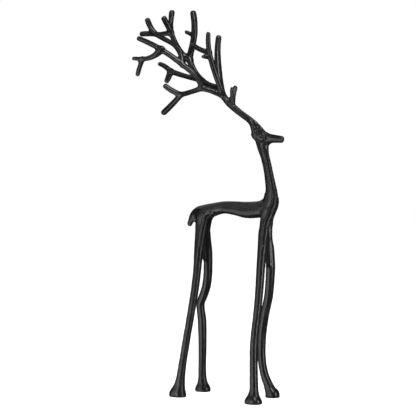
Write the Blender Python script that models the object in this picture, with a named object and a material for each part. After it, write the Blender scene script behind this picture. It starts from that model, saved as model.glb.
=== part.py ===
"""A slender standing deer with wide, branching antlers, cast in metal as one piece.

The deer faces +X, its right side is toward -Y, and it stands on four flat soles at z = 0.
Sizes below are in millimetres; MM turns them into Blender's metres.
"""

import math
from collections import namedtuple

import bmesh
import bpy
from mathutils import Vector

MM = 0.001

# ---------------------------------------------------------------- casting
VOXEL = 1.1           # grain at which the swept forms are fused into one casting
FILLET_PASSES = 6     # smoothing passes that leave the rounded corners of a sand casting
SKIN = 0.25           # added to every radius, most of which the smoothing takes off again
TRIANGLES = 9400      # faces kept on the finished solid
PATH_STEP = 2.0       # spacing of the rings along a swept form
RING_SIDES = 16
DOME_RINGS = 3
DOME_TURN = math.radians(80)     # how far round a rounded end its last ring is

# ---------------------------------------------------------------- body
# Stations: forward, height, full depth (up and down), full width (across).
Slice = namedtuple("Slice", "forward height depth width")
TORSO = (
    Slice(67, 252, 17, 13),      # front of the chest
    Slice(58, 248, 21, 17),      # shoulder
    Slice(46, 246.2, 20.6, 18),  # girth
    Slice(30, 245.3, 20.6, 17),
    Slice(12, 247.3, 17.2, 15),
    Slice(-4, 247.8, 15.2, 14),  # waist
    Slice(-18, 245, 16.5, 16),
    Slice(-31, 241.3, 19, 18),   # croup
    Slice(-41, 240, 17, 14),
    Slice(-48, 237.3, 12, 9.5),  # root of the tail
    Slice(-53, 231.5, 8.4, 7),
    Slice(-55.8, 224.7, 6.2, 5.5),   # tip of the tail
)
NECK = (
    Slice(61, 244, 17, 15),      # into the chest
    Slice(65, 256, 18.5, 15),
    Slice(66.2, 268, 14.5, 12.2),
    Slice(64.6, 279, 12, 10.2),
    Slice(61, 298, 10.2, 9.2),
    Slice(57.5, 312, 10.4, 9.6),
    Slice(54.3, 323, 12.4, 11),
    Slice(53, 331, 15, 12.5),
    Slice(50.5, 339, 15, 13),    # into the skull
)
TORSO_SQUARENESS = 2.3
NECK_SQUARENESS = 3.0
HEAD = (
    Slice(39.5, 345, 8, 8),
    Slice(43, 343.2, 13, 13),    # back of the skull
    Slice(50, 340.8, 15.5, 15.5),
    Slice(57, 338.4, 14, 14),    # cheek
    Slice(62.5, 337.6, 11.4, 10),    # below the eye
    Slice(70, 337.1, 9.7, 9.3),
    Slice(81.5, 336.2, 8.0, 8.2),    # nose
)
HEAD_SQUARENESS = 2.8
HEAD_DOME = 0.45      # how far the nose bulges, in radii

# ---------------------------------------------------------------- legs
# Stations: height, forward, sideways (plus is the deer's left), fore-aft and across thickness.
Joint = namedtuple("Joint", "height forward side thick wide")
HIND_RIGHT = (
    Joint(240, -33, -3, 18, 11),     # hip
    Joint(229, -34, -6, 16.5, 11),
    Joint(215, -34.4, -8, 14.4, 10.5),
    Joint(200, -35.1, -10, 12.6, 10),
    Joint(184, -35.8, -11.8, 10.8, 9.8),
    Joint(168, -36, -13.7, 9.7, 9.6),
    Joint(145, -37.4, -16.5, 9.5, 9.4),
    Joint(110, -41.8, -20, 9.2, 9),
    Joint(75, -46.8, -23.5, 9.2, 9),
    Joint(40, -51.6, -26.5, 9.6, 9.6),
    Joint(25, -53.2, -27.5, 10.8, 10.6),
)
HIND_LEFT = (
    Joint(240, -32.5, 3, 16, 11),
    Joint(229, -33.2, 6, 12.8, 10),
    Joint(216, -34.6, 8.5, 8.4, 9),
    Joint(203, -34.5, 10.5, 8.6, 9),
    Joint(185, -35.3, 13, 10.5, 10.7),
    Joint(158, -37.6, 16, 10.7, 10.9),
    Joint(142, -40.8, 17.5, 10.7, 10.9),
    Joint(129, -46.3, 19, 10.6, 10.8),
    Joint(120, -50.7, 19.7, 10.2, 10.4),   # the kink at the hock
    Joint(110, -51, 20.5, 10, 10.2),
    Joint(92, -49.8, 22, 10.8, 10.8),
    Joint(60, -50.8, 24.5, 10, 10),
    Joint(32, -52.4, 26.5, 9.6, 9.6),
    Joint(19, -52.7, 27.3, 10.2, 10),
)
FORE_RIGHT = (
    Joint(248, 62, -3, 17, 11),      # shoulder
    Joint(240, 61.5, -5.5, 13.8, 10.5),
    Joint(228, 60.5, -7.4, 12, 10),
    Joint(215, 59.4, -9.3, 12.5, 10),
    Joint(193, 58.8, -11.9, 11, 10),
    Joint(168, 58.2, -14.3, 10.3, 9.8),
    Joint(145, 57.9, -16.9, 9.7, 9.7),
    Joint(125, 57.1, -19, 9.2, 9.4),
    Joint(95, 54.9, -22.2, 8.9, 9.1),
    Joint(72, 54, -24.6, 9.3, 9.3),
    Joint(45, 55.4, -27, 9.8, 9.8),
    Joint(18, 57, -29.4, 10.5, 10.4),
)
FORE_LEFT = (
    Joint(251, 62.5, 3, 16, 11),
    Joint(242, 61.5, 6, 11.5, 10),
    Joint(232, 59, 8.2, 8.6, 9),
    Joint(212, 56.7, 11, 8.7, 9),
    Joint(195, 56.8, 13.3, 10.6, 10.4),
    Joint(170, 56.2, 16.3, 11.1, 10.9),
    Joint(140, 52.6, 19.5, 10.7, 10.6),
    Joint(126, 49.5, 20.9, 10.7, 10.6),
    Joint(110, 44.9, 22.3, 10.7, 10.6),
    Joint(85, 39.9, 24.2, 10.4, 10.4),
    Joint(62, 37.9, 25.8, 10.1, 10.2),
    Joint(44, 38.6, 26.9, 9.9, 10),
    Joint(29, 41.4, 27.9, 10.2, 10.2),
    Joint(17, 46.3, 28.6, 11.4, 11),
)
LEG_SQUARENESS = 2.3

# Hooves flare from the ankle to a foot that is cut flat at z = 0.
Hoof = namedtuple("Hoof", "forward side length width")
HOOVES = {
    "hind_right": Hoof(-57.2, -28, 23, 17.5),
    "hind_left": Hoof(-52.4, 28, 21, 17.5),
    "fore_right": Hoof(56.5, -30, 23, 18),
    "fore_left": Hoof(52.5, 29, 18.5, 17),
}
HOOF_RIM = 4.0        # height of the widest part of a hoof
HOOF_SOLE = 0.93      # width of the sole against the rim
HOOF_EXTRA = 4.0      # cast below the floor, then cut off
HOOF_STEP = 1.0       # spacing of the rings along a hoof
HOOF_DOME = 0.2
CORONET_PLACE = 0.45  # how far the ring between ankle and rim is from the one to the other:
CORONET_DROP = 0.5    # along the floor, in height,
CORONET_GIRTH = 0.3   # and in thickness

# Thin walls of metal between the tops of the legs, arched along their lower edge.
Web = namedtuple("Web", "forward top arch thick half_width drop")
WEBS = (
    Web(-38, 236, 181, 4, 11, 10),
    Web(57, 240, 180, 4, 11, 10),
)
WEB_STEPS = 12

# Extra metal in the corners that a casting needs rounded wide: a short rod lies along each.
Gusset = namedtuple("Gusset", "points thick")
GUSSETS = (
    # withers
    Gusset(((46.5, 0, 252.1), (54.2, 0, 255.1), (58.9, 0, 259), (60.7, 0, 266.2)), 8),
    # throat
    Gusset(((66.3, 0, 335.2), (60.9, 0, 332.2), (58.3, 0, 328), (57.9, 0, 322)), 6),
    # left and right flank
    Gusset(((-16, 5.5, 241), (-21.5, 5.5, 239.4), (-25.6, 5.5, 236), (-28.5, 5.5, 231)), 6),
    Gusset(((-16, -5.5, 241), (-21.5, -5.5, 239.4), (-26, -5.5, 236), (-29.5, -6, 230)), 6),
    # under the tail
    Gusset(((-49.3, 0, 232.2), (-45.5, 0, 230.2), (-41.5, 0, 225.4)), 6),
)

# ---------------------------------------------------------------- antlers
# A rod leaves its root at `rise` degrees, turned up from straight ahead in the side view, and
# leans `splay` degrees toward the deer's left (minus is right), from the first value at its root
# to the second at its tip. Each bend is a length and the degrees that it turns upward or back.
# `root` is another rod, left where the share `at` of its length is, or a point in the skull.
# `thick` is the diameter at the root, half-way and at the tip.
Rod = namedtuple("Rod", "name root at rise splay bends thick")
RODS = (
    # right antler
    Rod("right_stem", (44.5, -5, 344), 0, 106, (3, -1), ((9.5, 2), (9, 33), (7, 7), (25, -5), (16.5, -18)), (7.2, 7.3, 8.1)),
    Rod("right_beam", "right_stem", 1, 139.5, (-26, -18), ((33, 34),), (5.8, 7.3, 6.8)),
    Rod("right_mid", "right_beam", 0.96, 111, (-7, -11), ((41.5, 39),), (6.8, 6.8, 7.2)),
    Rod("right_low", "right_beam", 1, 200, (-12, -18), ((28.4, -6),), (6.8, 6.0, 6.4)),
    Rod("right_low_tip", "right_low", 1, 161, (-14, -17), ((23.2, -21),), (6.6, 6.8, 6.5)),
    Rod("right_low_hook", "right_low", 1, 221, (8, 11), ((37.5, -8),), (6.6, 7.1, 7.3)),
    Rod("right_back", "right_mid", 1, 139, (-13, -12), ((69.5, 19),), (7.0, 6.8, 6.2)),
    Rod("right_back_fork", "right_back", 0.5, 230, (-13, -1), ((30.5, -53),), (9.2, 6.6, 5.4)),
    Rod("right_back_point", "right_back_fork", 1, 181, (-24, -16), ((11.5, -9),), (5.2, 5.0, 5.0)),
    Rod("right_back_drop", "right_back_fork", 1, 240.5, (6, 23), ((23, -1),), (6.4, 5.8, 5.6)),
    Rod("right_top", "right_mid", 1, 98, (11, 1), ((40, 57), (26, -3)), (7.0, 5.6, 6.4)),
    Rod("right_top_tip", "right_top", 1, 139, (-2, -10), ((21.5, -34),), (6.9, 6.9, 6.9)),
    Rod("right_top_stub", "right_top", 1, 173, (4, 4), ((22, 9),), (6.6, 6.7, 6.9)),
    Rod("right_fore", "right_stem", 1, 105.8, (-21, -8), ((55.5, -6), (29.7, -19.5)), (6.4, 6.9, 5.4)),
    Rod("right_fore_twig", "right_fore", 0.71, 168, (8, 13), ((30, -17),), (6.8, 6.0, 6.2)),
    Rod("right_fore_stub", "right_fore", 0.65, 190, (-31, -43), ((9, -30),), (5.2, 4.6, 4.8)),
    Rod("right_brow", "right_stem", 0.75, 86, (-12, -21), ((24, -9),), (5.8, 4.7, 4.2)),
    # left antler
    Rod("left_stem", (50, 6, 345), 0, 128, (-5, 4), ((27.5, 19), (33, -6), (24, -27)), (7.2, 6.2, 6.4)),
    Rod("left_beam", "left_stem", 1, 156, (18, 12), ((14.5, 14), (62.5, -55)), (6.0, 6.8, 8.0)),
    Rod("left_top", "left_beam", 1, 100, (12, 7), ((13.5, -23), (50.6, 29.3)), (8.0, 8.0, 7.9)),
    Rod("left_top_twig", "left_top", 0.545, 159, (18, 24), ((18.5, 2),), (5.6, 5.0, 4.5)),
    Rod("left_back", "left_beam", 1, 151, (-10, -14), ((20, -30), (26, -19)), (8.8, 6.9, 6.6)),
    Rod("left_back_tip", "left_back", 1, 107, (17, 14), ((28, -18),), (6.4, 6.0, 7.4)),
    Rod("left_back_point", "left_back", 1, 108.5, (-24, -12), ((20.3, 5),), (6.4, 6.9, 7.2)),
    Rod("left_back_stub", "left_back", 1, 190, (-11, -21), ((20, -11),), (7.6, 5.6, 5.2)),
    Rod("left_low", "left_beam", 0.52, 171.5, (12, 9), ((57.2, -9.5),), (7.2, 6.2, 7.0)),
    Rod("left_low_tip", "left_low", 1, 141, (15, 12), ((22.8, 23),), (6.8, 6.2, 5.5)),
    Rod("left_low_hook", "left_low", 1, 264, (-9, -23), ((13.5, -15),), (8.2, 7.7, 6.8)),
    Rod("left_fore", "left_stem", 0.95, 115.5, (17, 12), ((54, -17), (22.2, -10)), (7.6, 8.7, 6.9)),
    Rod("left_brow", "left_stem", 0.68, 86, (12, 22), ((22.3, -2),), (9.2, 6.6, 6.0)),
)
ROD_SQUARENESS = 2.0
TIP_SQUARENESS = 4.0  # a rod's end is cut off square, with its edge rounded over

# ---------------------------------------------------------------- finish
FINISH = {"colour": (0.028, 0.028, 0.030), "roughness": 0.42, "metallic": 0.35}

SIDE = Vector((0, 1, 0))


def clear_scene():
    """Remove every object that the scene holds."""
    for old in list(bpy.data.objects):
        bpy.data.objects.remove(old, do_unlink=True)


def spline(rows, step=PATH_STEP):
    """Smooth rows of numbers, of which the first three are a place, at about `step` apart."""
    ends = ([2 * a - b for a, b in zip(rows[0], rows[1])],
            [2 * a - b for a, b in zip(rows[-1], rows[-2])])
    knots = [ends[0], *rows, ends[1]]
    smooth = []
    for i in range(1, len(knots) - 2):
        before, start, stop, after = knots[i - 1:i + 3]
        span = (Vector(stop[:3]) - Vector(start[:3])).length
        pieces = max(1, round(span / step))
        for k in range(pieces):
            t = k / pieces
            smooth.append([
                0.5 * (2 * q + (r - p) * t + (2 * p - 5 * q + 4 * r - s) * t ** 2
                       + (3 * q - p - 3 * r + s) * t ** 3)
                for p, q, r, s in zip(before, start, stop, after)])
    smooth.append(list(rows[-1]))
    return smooth


def directions(centres):
    """The direction of travel at each of a path's points."""
    last = len(centres) - 1
    return [(centres[min(i + 1, last)] - centres[max(i - 1, 0)]).normalized()
            for i in range(last + 1)]


def ring(mesh, centre, along, half_thick, half_wide, squareness):
    """One closed ring of vertices across `along`: a circle, or squarer as squareness rises."""
    across = (SIDE - along * SIDE.dot(along)).normalized()
    fore = across.cross(along)
    vertices = []
    for k in range(RING_SIDES):
        angle = 2 * math.pi * k / RING_SIDES
        c, s = math.cos(angle), math.sin(angle)
        u = math.copysign(abs(c) ** (2 / squareness), c) * half_thick
        v = math.copysign(abs(s) ** (2 / squareness), s) * half_wide
        vertices.append(mesh.verts.new((centre + fore * u + across * v) * MM))
    return vertices


def join_rings(mesh, rings):
    """Walls between neighbouring rings, and a cap on the first and the last."""
    sides = len(rings[0])
    for low, high in zip(rings, rings[1:]):
        for k in range(sides):
            j = (k + 1) % sides
            mesh.faces.new((low[k], low[j], high[j], high[k]))
    mesh.faces.new(list(reversed(rings[0])))
    mesh.faces.new(rings[-1])


def dome_rings(squareness):
    """How far out and how wide the rings of a rounded end are, as shares of its radius."""
    turns = [DOME_TURN * k / DOME_RINGS for k in range(1, DOME_RINGS + 1)]
    return [(math.sin(turn) ** (2 / squareness), math.cos(turn) ** (2 / squareness))
            for turn in turns]


def sweep(mesh, centres, thick, wide, squareness, dome=1.0, end_squareness=2.0):
    """A closed form along a path, with a rounded end of `dome` radii at each end."""
    ways = directions(centres)
    ends = dome_rings(end_squareness)
    rings = []
    for i, (centre, way) in enumerate(zip(centres, ways)):
        half_thick = thick[i] / 2 + SKIN
        half_wide = wide[i] / 2 + SKIN
        bulge = dome * min(half_thick, half_wide)
        body = [(0, 1)]
        if i == 0:
            body = [(-out, girth) for out, girth in reversed(ends)] + body
        if i == len(centres) - 1:
            body = body + ends
        for out, girth in body:
            rings.append(ring(mesh, centre + way * bulge * out, way,
                              half_thick * girth, half_wide * girth, squareness))
    join_rings(mesh, rings)


def add_slices(mesh, slices, squareness, dome=1.0):
    """A part of the trunk, lofted through its slices."""
    rows = spline([(s.forward, 0, s.height, s.depth, s.width) for s in slices])
    sweep(mesh, [Vector(row[:3]) for row in rows], [row[3] for row in rows],
          [row[4] for row in rows], squareness, dome)


def add_leg(mesh, joints, hoof):
    """A leg through its stations, and the hoof at its foot."""
    rows = spline([(j.forward, j.side, j.height, j.thick, j.wide) for j in joints])
    ankle = rows[-1]
    sweep(mesh, [Vector(row[:3]) for row in rows], [row[3] for row in rows],
          [row[4] for row in rows], LEG_SQUARENESS)
    rim = (hoof.forward, hoof.side, HOOF_RIM, hoof.length, hoof.width)
    shares = (CORONET_PLACE, CORONET_PLACE, CORONET_DROP, CORONET_GIRTH, CORONET_GIRTH)
    coronet = [a + (b - a) * share for a, b, share in zip(ankle, rim, shares)]
    sole = (hoof.forward, hoof.side, 0, hoof.length * HOOF_SOLE, hoof.width * HOOF_SOLE)
    below = (hoof.forward, hoof.side, -HOOF_EXTRA, *sole[3:])
    rows = spline([ankle, coronet, rim, sole, below], step=HOOF_STEP)
    sweep(mesh, [Vector(row[:3]) for row in rows], [row[3] for row in rows],
          [row[4] for row in rows], LEG_SQUARENESS, dome=HOOF_DOME)


def add_web(mesh, web):
    """The thin wall between the tops of two legs."""
    rings = []
    for k in range(WEB_STEPS + 1):
        share = 2 * k / WEB_STEPS - 1
        low = web.arch - web.drop * share ** 2
        corners = ((-1, low), (1, low), (1, web.top), (-1, web.top))
        rings.append([mesh.verts.new(Vector((web.forward + side * web.thick / 2,
                                             share * web.half_width, height)) * MM)
                      for side, height in corners])
    join_rings(mesh, rings)


def add_gusset(mesh, gusset):
    """A short rod that rounds an inner corner."""
    rows = spline([(*point, gusset.thick) for point in gusset.points])
    thick = [row[3] for row in rows]
    sweep(mesh, [Vector(row[:3]) for row in rows], thick, thick, ROD_SQUARENESS)


def rod_path(start, rod):
    """The middle line of a rod: arcs in the side view, leaning to one side as it goes."""
    total = sum(length for length, _ in rod.bends)
    points, place, travelled, heading = [start], start.copy(), 0.0, float(rod.rise)
    for length, turn in rod.bends:
        pieces = max(4, round(length / PATH_STEP))
        for k in range(pieces):
            share = (travelled + length * (k + 0.5) / pieces) / total
            rise = math.radians(heading + turn * (k + 0.5) / pieces)
            lean = math.radians(rod.splay[0] + (rod.splay[1] - rod.splay[0]) * share)
            step = Vector((math.cos(rise) * math.cos(lean), math.sin(lean),
                           math.sin(rise) * math.cos(lean)))
            place = place + step * (length / pieces)
            points.append(place)
        travelled += length
        heading += turn
    return points


def add_antlers(mesh):
    """Every rod of both antlers, each from its root on the rod that carries it."""
    paths = {}
    for rod in RODS:
        if isinstance(rod.root, str):
            parent = paths[rod.root]
            start = parent[round(rod.at * (len(parent) - 1))]
        else:
            start = Vector(rod.root)
        path = rod_path(start, rod)
        paths[rod.name] = path
        root, waist, tip = rod.thick
        thick = []
        for k in range(len(path)):
            t = 2 * k / (len(path) - 1)
            thick.append(root + (waist - root) * t if t < 1 else waist + (tip - waist) * (t - 1))
        sweep(mesh, path, thick, thick, ROD_SQUARENESS, end_squareness=TIP_SQUARENESS)


def swept_forms():
    """All the swept forms as one mesh, still overlapping."""
    mesh = bmesh.new()
    add_slices(mesh, TORSO, TORSO_SQUARENESS)
    add_slices(mesh, NECK, NECK_SQUARENESS)
    add_slices(mesh, HEAD, HEAD_SQUARENESS, dome=HEAD_DOME)
    legs = {"hind_right": HIND_RIGHT, "hind_left": HIND_LEFT,
            "fore_right": FORE_RIGHT, "fore_left": FORE_LEFT}
    for name, joints in legs.items():
        add_leg(mesh, joints, HOOVES[name])
    for web in WEBS:
        add_web(mesh, web)
    for gusset in GUSSETS:
        add_gusset(mesh, gusset)
    add_antlers(mesh)
    bmesh.ops.recalc_face_normals(mesh, faces=mesh.faces)
    data = bpy.data.meshes.new("swept_forms")
    mesh.to_mesh(data)
    mesh.free()
    return data


def evaluated(figure):
    """The object's mesh with its modifiers worked in."""
    graph = bpy.context.evaluated_depsgraph_get()
    return bpy.data.meshes.new_from_object(figure.evaluated_get(graph))


def fuse(figure):
    """Fuse the overlapping forms into one skin with cast fillets, then thin its faces out."""
    remesh = figure.modifiers.new("fuse", "REMESH")
    remesh.mode = "VOXEL"
    remesh.voxel_size = VOXEL * MM
    soften = figure.modifiers.new("fillet", "SMOOTH")
    soften.factor = 0.5
    soften.iterations = FILLET_PASSES
    figure.data = evaluated(figure)
    figure.modifiers.clear()
    thin = figure.modifiers.new("thin", "DECIMATE")
    thin.ratio = TRIANGLES / (2 * len(figure.data.polygons))
    thin.use_collapse_triangulate = True
    figure.data = evaluated(figure)
    figure.modifiers.clear()


def cut_soles(figure):
    """Cut the hooves off flat at the floor."""
    mesh = bmesh.new()
    mesh.from_mesh(figure.data)
    cut = bmesh.ops.bisect_plane(mesh, geom=[*mesh.verts, *mesh.edges, *mesh.faces],
                                 plane_co=(0, 0, 0), plane_no=(0, 0, 1), clear_inner=True)
    rims = [item for item in cut["geom_cut"] if isinstance(item, bmesh.types.BMEdge)]
    bmesh.ops.contextual_create(mesh, geom=rims)
    bmesh.ops.triangulate(mesh, faces=mesh.faces)
    bmesh.ops.recalc_face_normals(mesh, faces=mesh.faces)
    mesh.to_mesh(figure.data)
    mesh.free()


def centre_on_floor(figure):
    """Move the mesh so that the middle of its box stands over the origin."""
    corners = [vertex.co for vertex in figure.data.vertices]
    middle_x = (min(c.x for c in corners) + max(c.x for c in corners)) / 2
    middle_y = (min(c.y for c in corners) + max(c.y for c in corners)) / 2
    for vertex in figure.data.vertices:
        vertex.co.x -= middle_x
        vertex.co.y -= middle_y


def finish_material():
    """The satin black finish of the whole casting."""
    material = bpy.data.materials.new("satin_black_cast_metal")
    material.use_nodes = True
    shader = material.node_tree.nodes["Principled BSDF"]
    shader.inputs["Base Color"].default_value = (*FINISH["colour"], 1)
    shader.inputs["Roughness"].default_value = FINISH["roughness"]
    shader.inputs["Metallic"].default_value = FINISH["metallic"]
    return material


clear_scene()
deer = bpy.data.objects.new("deer_figure", swept_forms())
bpy.context.scene.collection.objects.link(deer)
fuse(deer)
cut_soles(deer)
centre_on_floor(deer)
deer.data.materials.clear()
deer.data.materials.append(finish_material())
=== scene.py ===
"""The looks of a slender standing deer with branching antlers, cast in one piece in satin black."""

import math

import bmesh
import bpy
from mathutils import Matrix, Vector, noise
from mathutils.bvhtree import BVHTree
from mathutils.kdtree import KDTree


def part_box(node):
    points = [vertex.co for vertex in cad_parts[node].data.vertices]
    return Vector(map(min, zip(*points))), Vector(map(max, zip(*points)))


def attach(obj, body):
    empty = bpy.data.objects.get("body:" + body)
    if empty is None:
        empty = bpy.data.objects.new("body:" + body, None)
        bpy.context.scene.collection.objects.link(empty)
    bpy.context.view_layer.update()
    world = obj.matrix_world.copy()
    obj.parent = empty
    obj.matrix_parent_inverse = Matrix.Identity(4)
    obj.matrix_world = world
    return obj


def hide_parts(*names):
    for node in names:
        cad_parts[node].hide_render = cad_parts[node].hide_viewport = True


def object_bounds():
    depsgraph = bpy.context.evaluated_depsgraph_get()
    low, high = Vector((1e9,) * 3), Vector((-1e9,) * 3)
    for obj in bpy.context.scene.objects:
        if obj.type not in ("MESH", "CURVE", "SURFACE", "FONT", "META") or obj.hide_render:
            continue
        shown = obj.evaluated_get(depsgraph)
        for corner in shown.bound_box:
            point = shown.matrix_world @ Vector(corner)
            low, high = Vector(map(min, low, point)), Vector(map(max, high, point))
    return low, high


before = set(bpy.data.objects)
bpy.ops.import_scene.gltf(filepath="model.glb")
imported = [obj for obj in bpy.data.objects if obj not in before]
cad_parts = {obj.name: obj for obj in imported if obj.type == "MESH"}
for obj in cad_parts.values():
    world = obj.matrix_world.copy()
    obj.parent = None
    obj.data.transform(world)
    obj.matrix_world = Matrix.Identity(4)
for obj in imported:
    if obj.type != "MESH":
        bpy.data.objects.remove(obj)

cad_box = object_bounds()


# ---------------------------------------------------------------- the casting
# The whole deer is one sand casting in metal: rods, bars and webs that run together with soft
# corners. It is dressed by hand, with lines cut along the neck, the haunches and the face and
# flats filed on its sides, so no stretch is quite straight or round, and finished in satin black.
MM = 0.001
SEAM = 1e-6             # corners of the solid's faces closer than this are one point
GRAIN = 1.15 * MM       # spacing of the finished skin's faces
SOFTENING = 12          # rounds of smoothing that take the flats off the solid
EASE, REGAIN = 0.5, -0.53   # each round smooths, then puts back the girth that it took
COAT = 0.3 * MM         # thickness of the black finish over the metal

casting_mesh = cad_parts["deer_figure"].data.copy()
skin = bmesh.new()
skin.from_mesh(casting_mesh)
bmesh.ops.remove_doubles(skin, verts=skin.verts, dist=SEAM)
skin.to_mesh(casting_mesh)
skin.free()
casting = bpy.data.objects.new("deer_casting", casting_mesh)
bpy.context.scene.collection.objects.link(casting)

remesh = casting.modifiers.new("skin", "REMESH")
remesh.mode = "VOXEL"
remesh.voxel_size = GRAIN
graph = bpy.context.evaluated_depsgraph_get()
casting.data = bpy.data.meshes.new_from_object(casting.evaluated_get(graph))
casting.modifiers.clear()

skin = bmesh.new()
skin.from_mesh(casting.data)
# how deep a line is cut here, in millimetres; less than nothing where it is raised
cut_depth = skin.verts.layers.float.new("cut")


def smooth(vertices, share):
    """Move the skin's vertices this share of the way to the middle of their neighbours."""
    bmesh.ops.smooth_vert(skin, verts=vertices, factor=share, use_axis_x=True,
                          use_axis_y=True, use_axis_z=True)


def soften(vertices, rounds):
    """Smooth the skin without thinning what it covers."""
    for _ in range(rounds):
        smooth(vertices, EASE)
        smooth(vertices, REGAIN)


soften(skin.verts, SOFTENING)
skin.normal_update()

# Lines cut or raised in the skin: millimetres forward, to the left and up, from the middle of
# the floor under the deer, with the half width and the depth. A raised line's depth is negative.
RIGHT_MARKS = (
    # the crease down the front of the neck, over the chest and into the foreleg
    (((77.3, -5.8, 324), (80.6, -4, 322), (82.3, -3.5, 316.3), (83.1, -4, 309.3),
      (85.1, -4.2, 299.8), (87.3, -4.2, 290.9), (90.4, -4.7, 277.5), (92.7, -4.7, 270.6),
      (93.6, -5.1, 263.6), (93.3, -5.9, 258.5), (92.7, -6.3, 253.4), (90.2, -7.1, 248.3),
      (89.1, -7.8, 243.2), (87.4, -9.6, 238.1), (85.6, -11.3, 233), (84.6, -12.2, 227.9),
      (84.2, -12.9, 222.9), (83.7, -13.7, 217.8), (83.3, -14.4, 212.7), (83, -15, 207.6),
      (82.9, -15.9, 200)), 2.2, 2.2),
    # the strip of metal that stands up beside it
    (((94.5, -3.8, 263.5), (94.6, -4.4, 258.5), (94, -4.5, 253.4), (92.5, -4.8, 248.2),
      (90.7, -4.8, 243), (89, -6.4, 238), (87.7, -9, 233), (86.6, -10.4, 227.9),
      (86.2, -11.3, 222.8)), 1.6, -0.9),
    # the ridge down the front of the haunch, and the crease before it
    (((-2, -8.6, 241.5), (-6.1, -8.9, 239.1), (-8.4, -10.2, 233.9), (-8.9, -11.2, 228.7),
      (-9.8, -12.3, 223.5), (-10.5, -12.9, 218.3), (-11.5, -13.9, 210.5),
      (-12.4, -14.9, 202.7), (-13.3, -16.1, 192.3)), 2.4, -0.5),
    (((1.8, -8.3, 238.6), (-1.9, -8.5, 237.2), (-4.7, -8.8, 235.5), (-5.5, -8.8, 233),
      (-6.4, -9.8, 228.7), (-7.2, -10.9, 223.5), (-8.3, -12.2, 218.3), (-9.2, -13.2, 210.5),
      (-9.7, -14, 202.7), (-10.2, -14.6, 196)), 1.6, 1.6),
    # the pit in the corner of the flank
    (((-4.5, 1, 231.5), (-6.5, 1.9, 230.2), (-8, 3, 228.5)), 1.6, 1.0),
    # the socket, where the cheek drops to the muzzle
    (((79.9, -4, 344.4), (80.7, -5.5, 342.5), (80.9, -6.2, 339), (80.8, -6.1, 335.5),
      (80.5, -5.5, 333)), 2.3, 1.3),
    # the rim of the cheek, and the flat inside it
    (((66.5, -8, 343.4), (70.4, -7.6, 340.6), (73.4, -7.2, 339), (76.3, -6.8, 337.4)),
     1.9, -0.5),
    (((70, -7.8, 346), (75.5, -7, 343)), 4, 0.4),
    # the crease under the cheek
    (((65.5, -7.5, 340.5), (67.3, -7.5, 337.5), (70.4, -7, 335), (74, -6.9, 333.8),
      (78.8, -6.1, 333.4), (83.9, -4.7, 334)), 2.2, 0.8),
    # the nick under the root of the antler
    (((54, -7, 361), (57, -8, 358.3)), 2.2, 1.9),
    # the ridge down the root of the antler
    (((58, -7, 363), (59.9, -7.4, 361.1), (62.3, -7.8, 357.9), (63.5, -7.9, 355.3),
      (64.9, -7.8, 352.7), (64.8, -8.4, 350.2)), 2.2, -0.4),
)
MARK_STEP = 0.6         # spacing of the points along a line, in millimetres
RUN_OUT = 1.5           # each end of a line runs out over this many of its half widths
# a narrow line is made rougher and painted darker as shade where it is cut, and is worn lighter
# where it is raised
NARROW = 2.5            # a line of a smaller half width, in millimetres, changes the finish
FINER = (GRAIN, -1.2 * GRAIN)   # each round of finer faces goes this far past a line's edges
BLEND_FIRST, BLEND_LAST = 4, 2  # rounds of smoothing before and after the lines are cut


def laid_on_skin(points, tree):
    """Points at even steps along a line, each dropped onto the skin, with its way to an end."""
    line = [Vector(point) * MM for point in points]
    lengths = [(b - a).length for a, b in zip(line, line[1:])]
    whole = sum(lengths)
    places, gone = [], 0.0
    for a, b, length in zip(line, line[1:], lengths):
        steps = max(1, round(length / (MARK_STEP * MM)))
        for k in range(steps + 1):
            run = gone + length * k / steps
            places.append((tree.find_nearest(a.lerp(b, k / steps))[0], min(run, whole - run)))
        gone += length
    return places


def near_line(places, reach):
    """The skin's vertices within reach of a line, with their distance and way to its end."""
    tree = KDTree(len(places))
    for index, (place, _) in enumerate(places):
        tree.insert(place, index)
    tree.balance()
    near = []
    for vertex in skin.verts:
        _, index, distance = tree.find(vertex.co)
        if distance < reach:
            near.append((vertex, distance, places[index][1]))
    return near


def along_lines(past_edge):
    """The skin's vertices on all the lines and this far past their edges."""
    return {vertex for places, half_width, _ in lines
            for vertex, _, _ in near_line(places, half_width + past_edge)}


marks = []
for points, half_width, depth in RIGHT_MARKS:
    marks.append((points, half_width, depth))
    marks.append(([(x, -y, z) for x, y, z in points], half_width, depth))

# The shoulders, the haunches and the tail are filed flatter on their outer sides and rubbed
# over: the middle and the reach of each flat in millimetres, and the way it faces.
RIGHT_FLATS = (
    ((84, -9.1, 246), 16, (0.14, -0.98, 0)),
    ((-12.5, -10.7, 228), 14, (0.14, -0.97, 0.1)),
    ((-32, -3.2, 230), 6, (-0.1, -0.95, 0.35)),
)
RUBS = 10               # rounds of rubbing that take their edges off
# The muzzle's corners are filed round: the middle and the half height of its sections.
MUZZLE = (((91, 0, 337.2), 4.6), ((95.5, 0, 336.8), 4.35), ((100, 0, 336.4), 4.05))
MUZZLE_REACH = 4.5
MUZZLE_TURNS = (-55, -35, -18, 18, 35, 55)      # degrees that the filed strips face up
# The left antler's root is filed along its front.
ROOT_FRONT = (0.46, -0.76, 0.46)
ROOT_FLATS = ((58, 3.8, 361.7), (60, 3.8, 359.7), (62, 3.8, 357.9), (64, 3.8, 356),
              (66, 3.8, 354), (67.8, 3.8, 352))
ROOT_REACH, ROOT_RUBS = 3.5, 2
FILED = 0.75            # how much of the metal over the flat is taken off
EDGE_SHARE = 0.3        # the filing gets lighter from this share of the reach outward
UNTOUCHED = 3 * MM      # metal this far behind a flat is not rubbed

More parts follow.
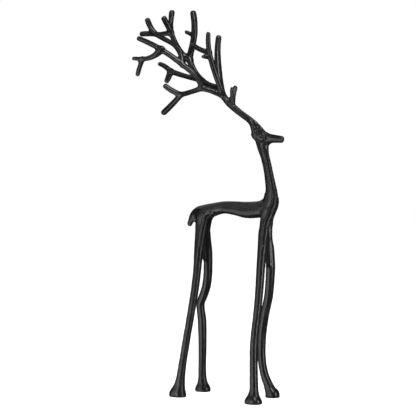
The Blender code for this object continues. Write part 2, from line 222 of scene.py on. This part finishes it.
flats = []
for middle, reach, facing in RIGHT_FLATS:
    flats.append((Vector(middle), reach, Vector(facing), RUBS))
for middle, half_height in MUZZLE:
    for turn in MUZZLE_TURNS:
        facing = Vector((0, -math.cos(math.radians(turn)), math.sin(math.radians(turn))))
        flats.append((Vector(middle) + facing * half_height, MUZZLE_REACH, facing, 0))
flats += [(Vector((x, -y, z)), reach, Vector((ahead, -side_on, up)), rubs)
          for (x, y, z), reach, (ahead, side_on, up), rubs in flats]
flats += [(Vector(middle), ROOT_REACH, Vector(ROOT_FRONT), ROOT_RUBS) for middle in ROOT_FLATS]
for middle, reach, facing, rubs in flats:
    flat, facing = middle * MM, facing.normalized()
    around = [vertex for vertex in skin.verts if (vertex.co - flat).length < reach * MM
              and (vertex.co - flat).dot(facing) > -UNTOUCHED]
    for vertex in around:
        share = (vertex.co - flat).length / (reach * MM)
        proud_by = max(0.0, (vertex.co - flat).dot(facing))
        vertex.co -= facing * proud_by * FILED * min(1.0, (1 - share) / (1 - EDGE_SHARE))
    for _ in range(rubs):
        smooth(around, EASE)

# The skin is faced more finely along the lines, and then they are cut.
tree = BVHTree.FromBMesh(skin)
lines = [(laid_on_skin(points, tree), half_width * MM, depth * MM)
         for points, half_width, depth in marks]
for past_edge in FINER:
    close = along_lines(past_edge)
    edges = [edge for edge in skin.edges if edge.verts[0] in close and edge.verts[1] in close]
    bmesh.ops.subdivide_edges(skin, edges=edges, cuts=1, use_grid_fill=True, smooth=0)
close = list(along_lines(GRAIN))
bmesh.ops.triangulate(skin, faces=[face for face in skin.faces if len(face.verts) > 4])
soften(close, BLEND_FIRST)

skin.normal_update()
for places, half_width, depth in lines:
    for vertex, distance, run in near_line(places, half_width):
        across = (1 - (distance / half_width) ** 2) ** 2
        fall = across * min(1.0, run / (RUN_OUT * half_width))
        vertex.co -= vertex.normal * depth * fall
        if half_width < NARROW * MM and abs(depth * fall) > abs(vertex[cut_depth] * MM):
            vertex[cut_depth] = depth / MM * fall
soften(close, BLEND_LAST)

# The skin is a little uneven, and the coat lies over it, cut off level with the solid's box.
WAVES = ((14, 0.14), (5, 0.04))     # length and height of the unevenness, in millimetres
skin.normal_update()
for vertex in skin.verts:
    lift = COAT
    for length, rise in WAVES:
        lift += rise * MM * noise.noise(vertex.co / (length * MM))
    vertex.co += vertex.normal * lift
for vertex in skin.verts:
    vertex.co = [min(max(place, least), most)
                 for place, least, most in zip(vertex.co, cad_box[0], cad_box[1])]
for face in skin.faces:
    face.smooth = True

# Where the skin is hollow and where it stands proud: the hollows are made rougher and painted
# darker as shade, and the finish is rubbed off the proud places.
HOLLOW_ROUNDS = 6
places = [vertex.co.copy() for vertex in skin.verts]
skin.normal_update()
normals = [vertex.normal.copy() for vertex in skin.verts]
for _ in range(HOLLOW_ROUNDS):
    smooth(skin.verts, EASE)
hollows = [(vertex.co - place).dot(normal) / MM
           for vertex, place, normal in zip(skin.verts, places, normals)]
for vertex, place in zip(skin.verts, places):
    vertex.co = place
skin.to_mesh(casting.data)
skin.free()
hollow_mark = casting.data.attributes.new("hollow", "FLOAT", "POINT")
hollow_mark.data.foreach_set("value", hollows)

metal = bpy.data.materials.new("satin_black_cast_metal")
metal.use_nodes = True
nodes, links = metal.node_tree.nodes, metal.node_tree.links
shader = nodes["Principled BSDF"]
shader.inputs["Specular IOR Level"].default_value = 0.5


def between(value, lowest, highest, out_lowest, out_highest):
    """A value carried from one range to another, and held inside it."""
    node = nodes.new("ShaderNodeMapRange")
    node.inputs["From Min"].default_value = lowest
    node.inputs["From Max"].default_value = highest
    node.inputs["To Min"].default_value = out_lowest
    node.inputs["To Max"].default_value = out_highest
    links.new(value, node.inputs["Value"])
    return node.outputs["Result"]


def sums(operation, first, second):
    """Two values put together."""
    node = nodes.new("ShaderNodeMath")
    node.operation = operation
    for socket, value in zip(node.inputs, (first, second)):
        if isinstance(value, (int, float)):
            socket.default_value = value
        else:
            links.new(value, socket)
    return node.outputs["Value"]


def mottle(size, detail):
    """Uneven patches of about `size` millimetres, from 0 to 1, with `detail` finer layers."""
    node = nodes.new("ShaderNodeTexNoise")
    node.inputs["Scale"].default_value = 1 / (size * MM)
    node.inputs["Detail"].default_value = detail
    links.new(place_on_deer.outputs["Object"], node.inputs["Vector"])
    return node.outputs["Fac"]


def marked(name):
    """A value kept on the skin's points."""
    node = nodes.new("ShaderNodeAttribute")
    node.attribute_name = name
    return node.outputs["Fac"]


PATCH_SIZE, GRAIN_SIZE, PIT_SIZE = 22, 1.3, 3.2
place_on_deer = nodes.new("ShaderNodeTexCoord")
patches = mottle(PATCH_SIZE, detail=2)      # broad, uneven patches in the finish
grain = mottle(GRAIN_SIZE, detail=4)        # the sand's grain
pits = mottle(PIT_SIZE, detail=2)           # shallow pits among it

HOLLOW_FROM, HOLLOW_TO = 0.09, 0.32     # millimetres under the skin around it
CUT_FROM, CUT_TO = 0.15, 1.2            # millimetres that a line is cut
PROUD_FROM, PROUD_TO = -0.24, -0.42     # millimetres over the skin around it
RIDGE_FROM, RIDGE_TO = -0.15, -0.5      # millimetres that a line is raised
THIN_FROM, THIN_TO = 0.4, 0.62          # patches where the finish wears through more easily
LEAST_RUBBED = 0.5                      # how much the rest is rubbed, against those
in_hollow = between(marked("hollow"), HOLLOW_FROM, HOLLOW_TO, 0, 1)
in_cut = between(marked("cut"), CUT_FROM, CUT_TO, 0, 1)
# hollows and narrow cuts: these are made rougher, and are painted darker as shade
unpolished_and_shaded = sums("MAXIMUM", in_hollow, in_cut)
proud = between(marked("hollow"), PROUD_FROM, PROUD_TO, 0, 1)
on_ridge = between(marked("cut"), RIDGE_FROM, RIDGE_TO, 0, 1)
worn_through = between(patches, THIN_FROM, THIN_TO, LEAST_RUBBED, 1)
rubbed = sums("MULTIPLY", sums("MAXIMUM", proud, on_ridge), worn_through)

# Roughness: the satin finish, how far it varies, and what hollows, rubbing and grain change.
SATIN, PATCHY, DRY, BURNISHED = 0.25, 0.07, 0.5, -0.03
SMOOTHEST_GRAIN, ROUGHEST_GRAIN = -0.03, 0.05
SHEEN_SPAN, GRAIN_SPAN = (0.3, 0.7), (0.35, 0.75)
satin = between(patches, *SHEEN_SPAN, SATIN - PATCHY / 2, SATIN + PATCHY / 2)
gritty = sums("ADD", satin, between(grain, *GRAIN_SPAN, SMOOTHEST_GRAIN, ROUGHEST_GRAIN))
dry = sums("ADD", gritty, sums("MULTIPLY", unpolished_and_shaded, DRY))
burnished = sums("ADD", dry, sums("MULTIPLY", rubbed, BURNISHED))
# At a glancing angle the grain hides the gloss.
GLANCE_FROM, GLANCE_TO, GLANCE_DULL = 0.6, 0.85, 0.5
glance = nodes.new("ShaderNodeLayerWeight")
glance.inputs["Blend"].default_value = 0.5
dulled = between(glance.outputs["Facing"], GLANCE_FROM, GLANCE_TO, 0, GLANCE_DULL)
links.new(sums("ADD", burnished, dulled), shader.inputs["Roughness"])


def tint(share, first, second):
    """One colour running into another."""
    node = nodes.new("ShaderNodeMix")
    node.data_type = "RGBA"
    links.new(share, node.inputs["Factor"])
    for socket, value in zip((node.inputs["A"], node.inputs["B"]), (first, second)):
        if isinstance(value, tuple):
            socket.default_value = (*value, 1)
        else:
            links.new(value, socket)
    return node.outputs["Result"]


BLACK, SOFT_BLACK = (0.0075, 0.0075, 0.0078), (0.0125, 0.0122, 0.012)
# painted shade: the darker black that is put into hollows and cut lines, where shade falls in them
PAINTED_SHADE_BLACK = (0.0045, 0.0045, 0.0045)
WORN, WORN_SHARE = (0.05, 0.049, 0.047), 0.6
BLACK_SPAN = (0.35, 0.65)
black = tint(between(patches, *BLACK_SPAN, 0, 1), BLACK, SOFT_BLACK)
# painted shade: the hollows and narrow cuts are darkened in the colour itself
with_painted_shade = tint(unpolished_and_shaded, black, PAINTED_SHADE_BLACK)
worn = tint(sums("MULTIPLY", rubbed, WORN_SHARE), with_painted_shade, WORN)
links.new(worn, shader.inputs["Base Color"])

GRAIN_DEPTH, GRAIN_STRENGTH = 0.06 * MM, 0.3
PIT_DEPTH, PIT_SPAN = 0.8, (0.28, 0.42)     # the depth is against the grain's
rough_sand = nodes.new("ShaderNodeBump")
rough_sand.inputs["Strength"].default_value = GRAIN_STRENGTH
rough_sand.inputs["Distance"].default_value = GRAIN_DEPTH
pitted = sums("ADD", grain, between(pits, *PIT_SPAN, -PIT_DEPTH, 0))
links.new(pitted, rough_sand.inputs["Height"])
links.new(rough_sand.outputs["Normal"], shader.inputs["Normal"])
casting.data.materials.clear()
casting.data.materials.append(metal)

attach(casting, "root")
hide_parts("deer_figure")


# ---------------------------------------------------------------- the room
# A plain pale sweep under a white backdrop. Tall softboxes stand on both sides of the camera,
# smaller and broader ones hang in front, over and behind the deer, and a white card is set low
# before it.
FLOOR_REACH = 3.0
FLOOR_WHITE = (0.82, 0.82, 0.81, 1)
FLOOR_ROUGH, FLOOR_GLOSS = 0.9, 0.1

floor_mesh = bpy.data.meshes.new("floor")
floor_form = bmesh.new()
bmesh.ops.create_grid(floor_form, x_segments=1, y_segments=1, size=FLOOR_REACH)
floor_form.to_mesh(floor_mesh)
floor_form.free()
floor = bpy.data.objects.new("floor", floor_mesh)
bpy.context.scene.collection.objects.link(floor)
pale = bpy.data.materials.new("pale_floor")
pale.use_nodes = True
pale_shader = pale.node_tree.nodes["Principled BSDF"]
pale_shader.inputs["Base Color"].default_value = FLOOR_WHITE
pale_shader.inputs["Roughness"].default_value = FLOOR_ROUGH
pale_shader.inputs["Specular IOR Level"].default_value = FLOOR_GLOSS
floor_mesh.materials.append(pale)
floor.visible_glossy = False      # the deer's gloss shows the softboxes alone

VIEW_AZIMUTH, VIEW_RISE = 30.42, 2.38   # degrees round and up
VIEW_DISTANCE = 2.118
VIEW_MIDDLE = (0.0208, -0.0002, 0.2472)
VIEW_ASIDE = 0.0241     # the camera looks this far to the left of that
FOCAL_SHARE = 1630 / 416    # focal length against the frame's width
SENSOR = 36.0


def way_from_deer(azimuth, rise):
    """The way to a place `azimuth` degrees round from the deer's right side and `rise` up."""
    turn, lift = math.radians(azimuth), math.radians(rise)
    return Vector((math.sin(turn) * math.cos(lift), -math.cos(turn) * math.cos(lift),
                   math.sin(lift)))


view_turn = math.radians(VIEW_AZIMUTH)
right_way = Vector((math.cos(view_turn), math.sin(view_turn), 0))
toward_camera = way_from_deer(VIEW_AZIMUTH, VIEW_RISE)
aim = Vector(VIEW_MIDDLE) - right_way * VIEW_ASIDE

camera_data = bpy.data.cameras.new("camera")
camera_data.sensor_width = SENSOR
camera_data.lens = SENSOR * FOCAL_SHARE
camera = bpy.data.objects.new("camera", camera_data)
camera.location = aim + toward_camera * VIEW_DISTANCE
camera.rotation_euler = toward_camera.to_track_quat("Z", "Y").to_euler()
bpy.context.scene.collection.objects.link(camera)
bpy.context.scene.camera = camera

low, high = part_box("deer_figure")
deer_middle = Vector((0, 0, (high[2] - low[2]) / 2))


def softbox(name, azimuth, rise, distance, width, tall, power):
    """A soft light that faces the deer's middle from `azimuth` degrees round and `rise` up."""
    way = way_from_deer(azimuth, rise)
    data = bpy.data.lights.new(name, "AREA")
    data.shape = "RECTANGLE"
    data.size = width
    data.size_y = tall
    data.energy = power
    lamp = bpy.data.objects.new(name, data)
    lamp.location = deer_middle + way * distance
    lamp.rotation_euler = way.to_track_quat("Z", "Y").to_euler()
    lamp.visible_camera = False
    bpy.context.scene.collection.objects.link(lamp)


# Degrees round (the camera is at 30) and up, distance, width and height in metres, and watts.
SOFTBOXES = (
    ("left_softbox", -13, -9, 1.6, 0.42, 1.7, 6.0),
    ("left_fill", -37, 18, 1.6, 0.6, 1.0, 0.9),
    ("right_softbox", 84, 4, 1.6, 0.46, 1.6, 13.5),
    ("high_left_softbox", -65, 48, 1.6, 1.5, 1.0, 2.4),
    ("high_back_softbox", 232, 42, 1.6, 1.4, 0.9, 2.6),
    ("high_front_softbox", 33, 50, 1.6, 0.4, 0.6, 9),
    ("high_right_softbox", 132, 66, 1.6, 0.5, 0.5, 4),
    ("low_front_card", -36, -32, 0.48, 0.4, 0.34, 0.6),
)
for settings in SOFTBOXES:
    softbox(*settings)

# A light from straight above falls on the floor alone, so that the floor stays pale.
FLOOR_LIGHT, FLOOR_LIGHT_SPREAD = 4.2, math.radians(60)
sun_data = bpy.data.lights.new("floor_light", "SUN")
sun_data.energy = FLOOR_LIGHT
sun_data.angle = FLOOR_LIGHT_SPREAD
sun = bpy.data.objects.new("floor_light", sun_data)
bpy.context.scene.collection.objects.link(sun)
floor_only = bpy.data.collections.new("floor_only")
floor_only.objects.link(floor)
sun.light_linking.receiver_collection = floor_only

# What the camera sees behind the deer is white, while the deer itself gets little of it.
WHITE = (1, 1, 1, 1)
ROOM_LIGHT, BACKDROP_LIGHT = 0.03, 1.0
world = bpy.data.worlds.new("room")
bpy.context.scene.world = world
world.use_nodes = True
room = world.node_tree
room_light = room.nodes["Background"]
room_light.inputs["Color"].default_value = WHITE
room_light.inputs["Strength"].default_value = ROOM_LIGHT
backdrop = room.nodes.new("ShaderNodeBackground")
backdrop.inputs["Color"].default_value = WHITE
backdrop.inputs["Strength"].default_value = BACKDROP_LIGHT
ray = room.nodes.new("ShaderNodeLightPath")
seen = room.nodes.new("ShaderNodeMixShader")
room.links.new(ray.outputs["Is Camera Ray"], seen.inputs[0])
room.links.new(room_light.outputs[0], seen.inputs[1])
room.links.new(backdrop.outputs[0], seen.inputs[2])
room.links.new(seen.outputs[0], room.nodes["World Output"].inputs["Surface"])
bpy.context.scene.view_settings.view_transform = "Standard"
